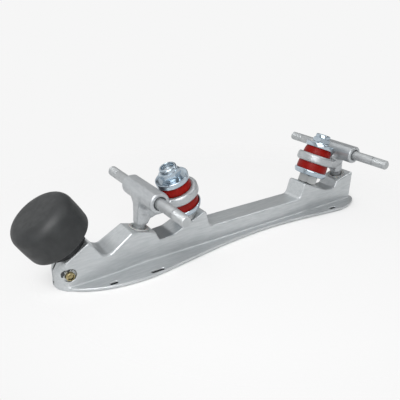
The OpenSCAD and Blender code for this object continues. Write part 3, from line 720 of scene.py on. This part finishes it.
# The plate gets painted shade in its slit, slots, counterbore and pockets, and on its valley floors
dress_casting("plate_casting", plate_cast, "plate", "base_plate", shaded_faces=in_plate_painted_shade,
              valley_shade=plate_valley_shade)
hanger_cast = cast(hanger_shape(), (52, -23, 18), (115, 23, 63),
                   step=0.45, faces=60000)
dress_casting("front_hanger_casting", hanger_cast, "front_truck", "front_hanger")
dress_casting("rear_hanger_casting", hanger_cast, "rear_truck", "rear_hanger", mirror=True)


# Steel, urethane and rubber pieces

def thread_tree():
    """Geometry nodes for a screw thread cut in a rod along Z, its middle at the origin."""
    tree = bpy.data.node_groups.new("screw_thread", "GeometryNodeTree")
    face = tree.interface
    for name, value in (("Radius", 4.0), ("Length", 12.0), ("Pitch", 1.25), ("Depth", 0.6),
                        ("Chamfer", 0.8)):
        face.new_socket(name, in_out="INPUT", socket_type="NodeSocketFloat").default_value = value
    face.new_socket("Turns", in_out="INPUT", socket_type="NodeSocketInt").default_value = 80
    face.new_socket("Material", in_out="INPUT", socket_type="NodeSocketMaterial")
    face.new_socket("Thread", in_out="OUTPUT", socket_type="NodeSocketGeometry")
    given = add(tree, "NodeGroupInput").outputs
    rod = add(tree, "GeometryNodeMeshCylinder", {
        "Vertices": 48, "Side Segments": given["Turns"], "Radius": given["Radius"],
        "Depth": given["Length"]})
    place = add(tree, "GeometryNodeInputPosition").outputs[0]
    part = add(tree, "ShaderNodeSeparateXYZ", {0: place}).outputs
    # The new radius at each point: the thread's flanks and rounded crests, or the chamfer at an end.
    # Each step names its result, its operation and what it works on
    steps = (("turn", "ARCTAN2", "Y", "X"), ("turn", "DIVIDE", "turn", 2 * math.pi),
             ("phase", "DIVIDE", "Z", "Pitch"), ("phase", "SUBTRACT", "phase", "turn"),
             ("phase", "FRACT", "phase"), ("flank", "SUBTRACT", "phase", 0.5),
             ("flank", "ABSOLUTE", "flank"), ("flank", "MULTIPLY", "flank", 2.5),
             ("cut", "SMOOTH_MIN", "flank", 1.0, 0.15), ("cut", "MULTIPLY", "Depth", "cut"),
             ("thread", "SUBTRACT", "Radius", "cut"),
             ("half", "DIVIDE", "Length", 2.0), ("height", "ABSOLUTE", "Z"),
             ("from end", "SUBTRACT", "half", "height"), ("tip", "SUBTRACT", "Radius", "Chamfer"),
             ("cone", "ADD", "tip", "from end"), ("new", "MINIMUM", "thread", "cone"),
             ("scale", "DIVIDE", "new", "Radius"), ("new X", "MULTIPLY", "X", "scale"),
             ("new Y", "MULTIPLY", "Y", "scale"))
    known = {name: given[name] for name in ("Radius", "Length", "Pitch", "Depth", "Chamfer")}
    known.update((axis, part[axis]) for axis in "XYZ")
    for result, operation, *values in steps:
        inputs = {i: known.get(value, value) for i, value in enumerate(values)}
        known[result] = add(tree, "ShaderNodeMath", inputs, operation=operation).outputs[0]
    spot = add(tree, "ShaderNodeCombineXYZ", {"X": known["new X"], "Y": known["new Y"], "Z": part["Z"]})
    cut = add(tree, "GeometryNodeSetPosition", {
        "Geometry": rod.outputs["Mesh"], "Position": spot.outputs[0]})
    whole = add(tree, "GeometryNodeRealizeInstances", {0: cut.outputs[0]})
    finish = add(tree, "GeometryNodeSetMaterial", {0: whole.outputs[0], "Material": given["Material"]})
    add(tree, "NodeGroupOutput", {0: finish.outputs[0]})
    return tree


THREAD = thread_tree()


def threaded(radius, low, high, pitch, depth, chamfer=0.8):
    """A threaded length of rod between two heights."""
    rows_in_a_turn = 9
    values = {"Radius": radius, "Length": high - low, "Pitch": pitch, "Depth": depth,
              "Chamfer": chamfer, "Turns": int((high - low) / pitch * rows_in_a_turn),
              "Material": STEEL}
    host = in_scene("host", bpy.data.meshes.new("host"))
    modifier = host.modifiers.new("nodes", "NODES")
    modifier.node_group = THREAD
    for item in THREAD.interface.items_tree:
        if item.in_out == "INPUT":
            modifier[item.identifier] = values[item.name]
    return moved(plain_mesh(host), Matrix.Translation((0, 0, (low + high) / 2)))


def hexagon_r(flats, a):
    """Radius of a hexagon across flats at an angle."""
    return flats / 2 / math.cos((a + math.pi / 6) % (math.pi / 3) - math.pi / 6)


def hex_body(flats, low, high, below, above, steps=72):
    """A hexagon with turned chamfers; below and above are its round parts, from the bore out and back."""
    face_r, chamfer = flats / 2 * 0.96, math.tan(math.radians(32))
    rows = []
    for j in range(steps):
        edge = hexagon_r(flats, 2 * math.pi * j / steps)
        drop = max(0.05, (edge - face_r) * chamfer)
        rows.append(below + [(face_r, low), (edge, low + drop), (edge, high - drop), (face_r, high)]
                    + above)
    return body_of_rows(rows)


def plain_nut(flats, low, high, bore):
    """A hexagon nut whose bore is chamfered at the top."""
    lead_in = 0.6
    return hex_body(flats, low, high, [(bore, low)], [(bore + lead_in, high), (bore, high - lead_in)])


def locking_nut(low, top):
    """A lock nut: a round foot, the hexagon, and a collar rolled over the locking ring."""
    flats, foot, collar_r, collar_bore, roll, lip = 14.6, 7.0, 6.7, 4.9, 1.3, 0.3
    hex_low, hex_high = low + 2.1, top - 3.4
    below = [(NUT_BORE, low), (foot - 0.2, low), (foot, low + 0.3), (foot, hex_low)]
    collar = ([(collar_r, hex_high), (collar_r, top - roll - 0.2)]
              + arc(collar_r - roll, top - roll, roll, 0, 90, 5)[1:]
              + arc(collar_bore + lip, top - lip, lip, 90, 180, 3)
              + [(collar_bore, hex_high), (NUT_BORE, hex_high - lip)])
    return hex_body(flats, hex_low, hex_high, below, collar)


def pressed_cup_lower():
    """The lower retainer: a pressed cup with a rounded base and a rolled rim."""
    tall, base, rim, inner_bend = 4.8, 1.4, 0.5, 0.9
    return ([(NUT_BORE, 0)] + arc(CUP_INNER_R - 1.2, base, base, -90, -30) + [(CUP_R, tall - 1.7)]
            + arc(CUP_R - 0.48, tall - rim, rim, 0, 180)
            + arc(CUP_INNER_R - inner_bend, CUP_SHEET + inner_bend, inner_bend, 0, -90)
            + [(NUT_BORE, CUP_SHEET)])


def pressed_cup_upper():
    """The upper retainer: a dished washer whose rim stands round the nut and grips the cushion below."""
    outer, skirt, rim, rim_r, bend, bend_at = 12.8, 1.2, 2.9, 0.55, 1.4, 9.6
    return ([(NUT_BORE, 0), (outer - skirt, 0), (outer - skirt, 0.2 - skirt)]
            + arc(outer - 0.6, rim_r - skirt, 0.58, 180, 360)
            + arc(outer - rim_r, rim - rim_r, rim_r, 0, 150)
            + arc(bend_at, CUP_SHEET + bend, bend, -30, -90) + [(NUT_BORE, CUP_SHEET)])


def cushion_profile(foot_r, head_r, low, high):
    """A cushion squeezed between two faces: crowned sides and rounded rims."""
    bore, edge, crown, steps = 5.0, 0.9, 0.35, 14
    side = []
    for i in range(steps + 1):
        t = i / steps
        side.append((foot_r + (head_r - foot_r) * t + crown * math.sin(math.pi * t) - crown,
                     low + edge + (high - low - 2 * edge) * t))
    foot, head = side[0][0] - edge, side[-1][0] - edge
    return ([(bore, low)]
            + [(foot + edge * math.sin(a), low + edge - edge * math.cos(a)) for a in np.linspace(0, 1.3, 5)]
            + side
            + [(head + edge * math.cos(a), high - edge + edge * math.sin(a))
               for a in np.linspace(0.3, math.pi / 2, 5)]
            + [(bore, high)])


def axle_mesh():
    """The wheel axle: thick where the barrel grips it, with a thread at each end."""
    grip, plain, end, step = 19.5, 42.6, 56.0, 0.4
    half = [(AXLE_GRIP_R, grip), (AXLE_R, grip + step), (AXLE_R, plain - 0.3), (3.9, plain), (0, plain)]
    body = turned([(r, -up) for r, up in reversed(half)] + half, 64)
    ends = [moved(threaded(AXLE_R, plain - 0.2, end, pitch=1.25, depth=0.3),
                  Matrix.Rotation(turn, 4, "X")) for turn in (0, math.pi)]
    return joined(body, *ends)


def kingpin_mesh(top):
    """The kingpin: a stud, plain in the plate and in the lower cushion, and threaded above."""
    plain, tip = 30, 0.35
    shank = turned([(0, -KINGPIN_DEPTH), (KINGPIN_R - tip, -KINGPIN_DEPTH),
                    (KINGPIN_R, -KINGPIN_DEPTH + 0.4), (KINGPIN_R, plain), (0, plain)], 48)
    return joined(shank, threaded(KINGPIN_R, plain - 0.2, top, pitch=1.27, depth=0.5))


def socket_screw():
    """The pinch screw: a socket head with a chamfered rim, a hexagon socket and a threaded shank."""
    low, high, head_r, depth, flats, steps = 9.8, 12.3, 3.1, 1.8, 4.0, 72
    middle, tip = 0.01, 0.6
    rows = []
    for j in range(steps):
        socket = hexagon_r(flats, 2 * math.pi * j / steps)
        rows.append([(middle, low), (head_r - 0.2, low), (head_r, low + 0.3), (head_r, high - 0.7),
                     (head_r - 0.25, high - 0.2), (head_r - 0.6, high), (socket + 0.15, high),
                     (socket, high - 0.3), (socket, high - depth), (middle, high - depth - tip)])
    shank = threaded(2.5, -8.4, low + 0.1, pitch=0.8, depth=0.35, chamfer=0.5)
    return joined(body_of_rows(rows, merged_mm=0.005), shank)


def toe_stop_rubber_profile():
    """The drum: flat worn face, generous working edge, slightly crowned side and a lipped back."""
    low, high, r, crown, steps = STOP_NUT_T + WASHER_T, 36.5, 22.9, 0.45, 10
    back_edge, work_edge = 3, 8.7
    side_low, side_high = low + back_edge + 0.2, high - work_edge - 0.1
    side = [(r - crown + crown * math.sin(math.pi * (0.15 + 0.7 * i / steps)),
             side_low + (side_high - side_low) * i / steps) for i in range(steps + 1)]
    back = [(0, low), (13, low), (13.6, low + 0.5), (16.5, low + 0.5), (17.1, low)]
    back += [(r - 3.35 + back_edge * math.sin(a), low + back_edge - back_edge * math.cos(a))
             for a in np.linspace(0, math.pi / 2, 7)][:-1]
    work = [(r - 8.9 + work_edge * math.cos(a), high - work_edge + work_edge * math.sin(a))
            for a in np.linspace(0.06, math.pi / 2, 12)]
    return back + side + work + [(8, high), (0, high)]


def pivot_cup_profile():
    """The pivot cup: a plug in the boss's socket, a lip over its rim, and a bowl for the ball."""
    bowl_r, plug_r, bottom, lip = 4.56, 6.6, -6.16, 0.5
    bowl = [(bowl_r * math.cos(a), bowl_r * math.sin(a)) for a in np.linspace(-0.02, -math.pi / 2, 12)]
    return ([(0, bottom), (plug_r - 0.6, bottom), (plug_r, -5.5), (plug_r, BALL_DEPTH)]
            + arc(7.4, BALL_DEPTH + lip, lip, -90, 90)
            + [(6.0, BALL_DEPTH + 2 * lip), (5.35, BALL_DEPTH + lip)] + bowl)


def dress_truck(side, place):
    """Hangs one truck's small pieces; the rear truck's are mirrored."""
    truck = side + "_truck"
    on_pin = place @ ON_KINGPIN
    # The rear jam nut was left with a corner toward the side of the plate, and its lock nut sits lower
    turn, nut_top, pin_top = (-11.5, 47.4, 44.4) if side == "rear" else (0, 48.0, 45.0)
    nut = moved(plain_nut(16.2, SEAT_RISE, JAM_NUT_TOP, NUT_BORE),
                Matrix.Rotation(math.radians(turn), 4, "Z"))
    nut = dress(f"{side}_jam_nut_steel", nut, "plate", f"{side}_jam_nut", on_pin, sharp=24)
    nut.data.materials[0] = CLEAR_ZINC
    nut = locking_nut(UPPER_CUP_H + CUP_SHEET, nut_top)
    dress(f"{side}_lock_nut_steel", nut, "plate", f"{side}_lock_nut", on_pin, sharp=24)
    cups = [("lower_retainer", pressed_cup_lower(), JAM_NUT_TOP),
            ("upper_retainer", pressed_cup_upper(), UPPER_CUP_H)]
    for name, profile, up in cups:
        dress(f"{side}_{name}_pressing", turned([(r, z + up) for r, z in profile]), "plate",
              f"{side}_{name}", on_pin, sharp=50)
    # Each cushion is baked in place and hangs from no body; the ends at its cup and at the ring are worked
    # out but not used
    lower = JAM_NUT_TOP + CUP_SHEET + CUSHION_PLAY, RING_LOW + RING_SEAT - CUSHION_PLAY
    upper = UPPER_CUP_H - CUSHION_PLAY, RING_HIGH - RING_SEAT + CUSHION_PLAY
    cushions = [("lower_cushion", cushion_profile(13.8, 13.8, *lower), lower),
                ("upper_cushion", cushion_profile(12.9, 11.4, *upper[::-1]), upper)]
    for name, profile, (fixed, free) in cushions:
        piece = dress(f"{side}_{name}_urethane", turned(profile), None, f"{side}_{name}", on_pin)
        start, end = (Matrix.Scale(MM, 4) @ on_pin @ Vector((0, 0, h)) for h in (fixed, free))
        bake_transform(piece)
        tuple(start)
        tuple(end)
    dress(f"{side}_axle_steel", axle_mesh(), truck, f"{side}_axle", place @ ALONG_AXLE, sharp=40)
    dress(f"{side}_kingpin_steel", kingpin_mesh(pin_top), "plate", f"{side}_kingpin", on_pin, sharp=40)
    dress(f"{side}_pivot_cup_nylon", turned(pivot_cup_profile()), "plate", f"{side}_pivot_cup",
          place @ ON_PIVOT, sharp=50)


def dress_toe_stop():
    """The rubber drum with its stem, nut and washer, and the screw that clamps the stem."""
    dress("toe_stop_drum", turned(toe_stop_rubber_profile(), 128), "toe_stop", "toe_stop_rubber", ON_STOP)
    core = turned([(0, 8.0), (6, 8.0), (6, 20.0), (0, 20.0)], 48)
    stem = threaded(STEM_R - 0.05, -STEM_DEPTH, 8.5, pitch=1.6, depth=0.7, chamfer=1.0)
    dress("toe_stop_threaded_stem", joined(stem, core), "toe_stop", "toe_stop_stem", ON_STOP, sharp=40)
    nut = plain_nut(24.0, 0, STOP_NUT_T, STEM_R + 0.01)
    dress("toe_stop_hex_nut", nut, "plate", "toe_stop_lock_nut", ON_STOP, sharp=24)
    low, high, rim_r, edge = STOP_NUT_T, STOP_NUT_T + WASHER_T, 15.0, 0.4
    washer = turned([(STEM_R, low), (rim_r - edge, low), (rim_r, low + edge), (rim_r, high - edge),
                     (rim_r - edge, high), (STEM_R, high)])
    dress("toe_stop_washer_steel", washer, "toe_stop", "toe_stop_washer", ON_STOP, sharp=40)
    screw = socket_screw()
    # The walls of the socket take the black material: painted shade deep in the socket
    socket_painted_shade = [math.hypot(f.center.x, f.center.y) < 2.2 and f.center.z > 9 and abs(f.normal.z) < 0.3
                 for f in screw.polygons]
    screw = dress("pinch_socket_screw", screw, "plate", "pinch_screw", IN_CLAMP, sharp=40)
    screw.data.materials.append(BLACK)
    screw.data.polygons.foreach_set("material_index", np.array(socket_painted_shade, dtype=np.int32))


dress_truck("front", Matrix.Identity(4))
dress_truck("rear", MIRRORED)
dress_toe_stop()


# Studio

PAPER_TONE = "#f6f6f6"


def seen_share(tree, mirrored):
    """1 for what the camera sees, and mirrored for what metal and glass show of it."""
    path = add(tree, "ShaderNodeLightPath").outputs
    shown = add(tree, "ShaderNodeMath", {0: path["Is Glossy Ray"], 1: path["Is Transmission Ray"]},
                operation="MAXIMUM").outputs[0]
    shown = add(tree, "ShaderNodeMath", {0: shown, 1: mirrored}, operation="MULTIPLY").outputs[0]
    return add(tree, "ShaderNodeMath", {0: path["Is Camera Ray"], 1: shown},
               operation="MAXIMUM").outputs[0]


def studio_dome():
    """The world: a soft dome, bright overhead and beyond the toe, and a pale tone that meets the floor."""
    world = bpy.data.worlds.new("studio")
    bpy.context.scene.world = world
    world.use_nodes = True
    tree = world.node_tree
    tree.nodes.clear()
    way = add(tree, "ShaderNodeTexCoord").outputs["Generated"]
    up = add(tree, "ShaderNodeSeparateXYZ", {0: way}).outputs["Z"]
    beyond_toe = add(tree, "ShaderNodeVectorMath", {0: way, 1: (0.47, -0.75, 0.46)},
                     operation="DOT_PRODUCT").outputs["Value"]
    level = None
    # The zones of the dome: what each follows, from where to where, and its light at these two ends
    for follows, low, high, first, last in (
            (up, 0.25, 0.45, 0.45, 0.08), (up, 0.5, 0.9, 0.0, 0.75), (beyond_toe, 0.45, 0.95, 0.0, 0.6)):
        light = add(tree, "ShaderNodeMapRange", {
            "Value": follows, "From Min": low, "From Max": high, "To Min": first, "To Max": last},
            interpolation_type="SMOOTHSTEP").outputs[0]
        if level:
            light = add(tree, "ShaderNodeMath", {0: level, 1: light}, operation="ADD").outputs[0]
        level = light
    dome = add(tree, "ShaderNodeBackground", {"Color": (1, 1, 1, 1), "Strength": level}).outputs[0]
    pale = add(tree, "ShaderNodeBackground", {"Color": linear(PAPER_TONE), "Strength": 1.0}).outputs[0]
    # Metal mirrors the pale tone from below the horizon and close above it, and the dome from higher up
    under = add(tree, "ShaderNodeMapRange", {"Value": up, "From Min": 0.0, "From Max": 0.12,
                                             "To Min": 1.0, "To Max": 0.0}).outputs[0]
    pick = add(tree, "ShaderNodeMixShader", {0: seen_share(tree, under), 1: dome, 2: pale})
    add(tree, "ShaderNodeOutputWorld", {"Surface": pick.outputs[0]})


def paper_floor():
    """Seamless paper: the eye gets its pale tone, but less of it close to what stands on it."""
    paper, tree, shader, where = new_material("seamless_paper", Roughness=1.0, Specular_IOR_Level=0.0)
    shader.inputs["Base Color"].default_value = linear("#e8e8e8")
    pale = add(tree, "ShaderNodeEmission", {"Color": linear(PAPER_TONE), "Strength": 1.0}).outputs[0]
    # The lit and shaded paper is a seventh of what the eye gets, and more within 20 mm of the object
    near = add(tree, "ShaderNodeAmbientOcclusion", {"Distance": 0.02}, samples=8).outputs["AO"]
    share = add(tree, "ShaderNodeMath", {0: near, 1: 2.0}, operation="POWER").outputs[0]
    share = add(tree, "ShaderNodeMath", {0: share, 1: 0.86}, operation="MULTIPLY").outputs[0]
    even = add(tree, "ShaderNodeMixShader", {0: share, 1: shader.outputs[0], 2: pale}).outputs[0]
    # Away from the object the paper runs out into the world's own pale tone
    far = add(tree, "ShaderNodeVectorMath", {0: where}, operation="LENGTH").outputs["Value"]
    fade = add(tree, "ShaderNodeMapRange", {"Value": far, "From Min": 0.16, "From Max": 0.26}).outputs[0]
    clear = add(tree, "ShaderNodeBsdfTransparent").outputs[0]
    seen = add(tree, "ShaderNodeMixShader", {0: fade, 1: even, 2: clear}).outputs[0]
    mix = add(tree, "ShaderNodeMixShader", {0: seen_share(tree, 1.0), 1: shader.outputs[0], 2: seen})
    tree.links.new(mix.outputs[0], tree.nodes["Material Output"].inputs["Surface"])
    mesh = bpy.data.meshes.new("floor")
    r, z = 3.0, -0.0001
    mesh.from_pydata([(-r, -r, z), (r, -r, z), (r, r, z), (-r, r, z)], [], [(0, 1, 2, 3)])
    mesh.materials.append(paper)
    floor = in_scene("floor", mesh)


def lamp(name, place, target, size, power):
    """A square soft lamp at a place, turned toward a target."""
    data = bpy.data.lights.new(name, "AREA")
    data.size = size
    data.energy = power
    made = in_scene(name, data)
    made.location = place
    made.rotation_euler = (Vector(target) - Vector(place)).to_track_quat("-Z", "Y").to_euler()


def photo_camera():
    """The camera that the photograph was taken with, found from the plate's own edges."""
    place, picture_px, focal_px, sensor = (0.2418, 0.2739, 0.1819), 400, 458.65, 36
    yaw, pitch, roll = math.radians(-124.49), math.radians(23.63), math.radians(0.91)
    forward = Vector((math.cos(yaw) * math.cos(pitch), math.sin(yaw) * math.cos(pitch),
                      -math.sin(pitch)))
    right = forward.cross(Vector((0, 0, 1))).normalized()
    up = right.cross(forward)
    c, s = math.cos(roll), math.sin(roll)
    right, up = c * right + s * up, c * up - s * right
    data = bpy.data.cameras.new("camera")
    data.sensor_fit = "HORIZONTAL"
    data.sensor_width = sensor
    data.lens = focal_px / picture_px * sensor
    data.clip_start, data.clip_end = 0.01, 20
    made = in_scene("camera", data)
    turn = Matrix((right, up, -forward)).transposed().to_4x4()
    made.matrix_world = Matrix.Translation(place) @ turn
    bpy.context.scene.camera = made


studio_dome()
paper_floor()
lamp("key", (0.44, 0.52, 0.46), (0.05, 0, 0.02), 0.7, 4.3)
lamp("toe", (0.25, 0.14, 0.3), (0.14, 0.02, 0.02), 0.16, 0.5)
lamp("edge", (-0.85, 0.5, 1.1), (0, 0, 0.02), 0.3, 2.6)
photo_camera()
bpy.context.scene.view_settings.view_transform = "Standard"
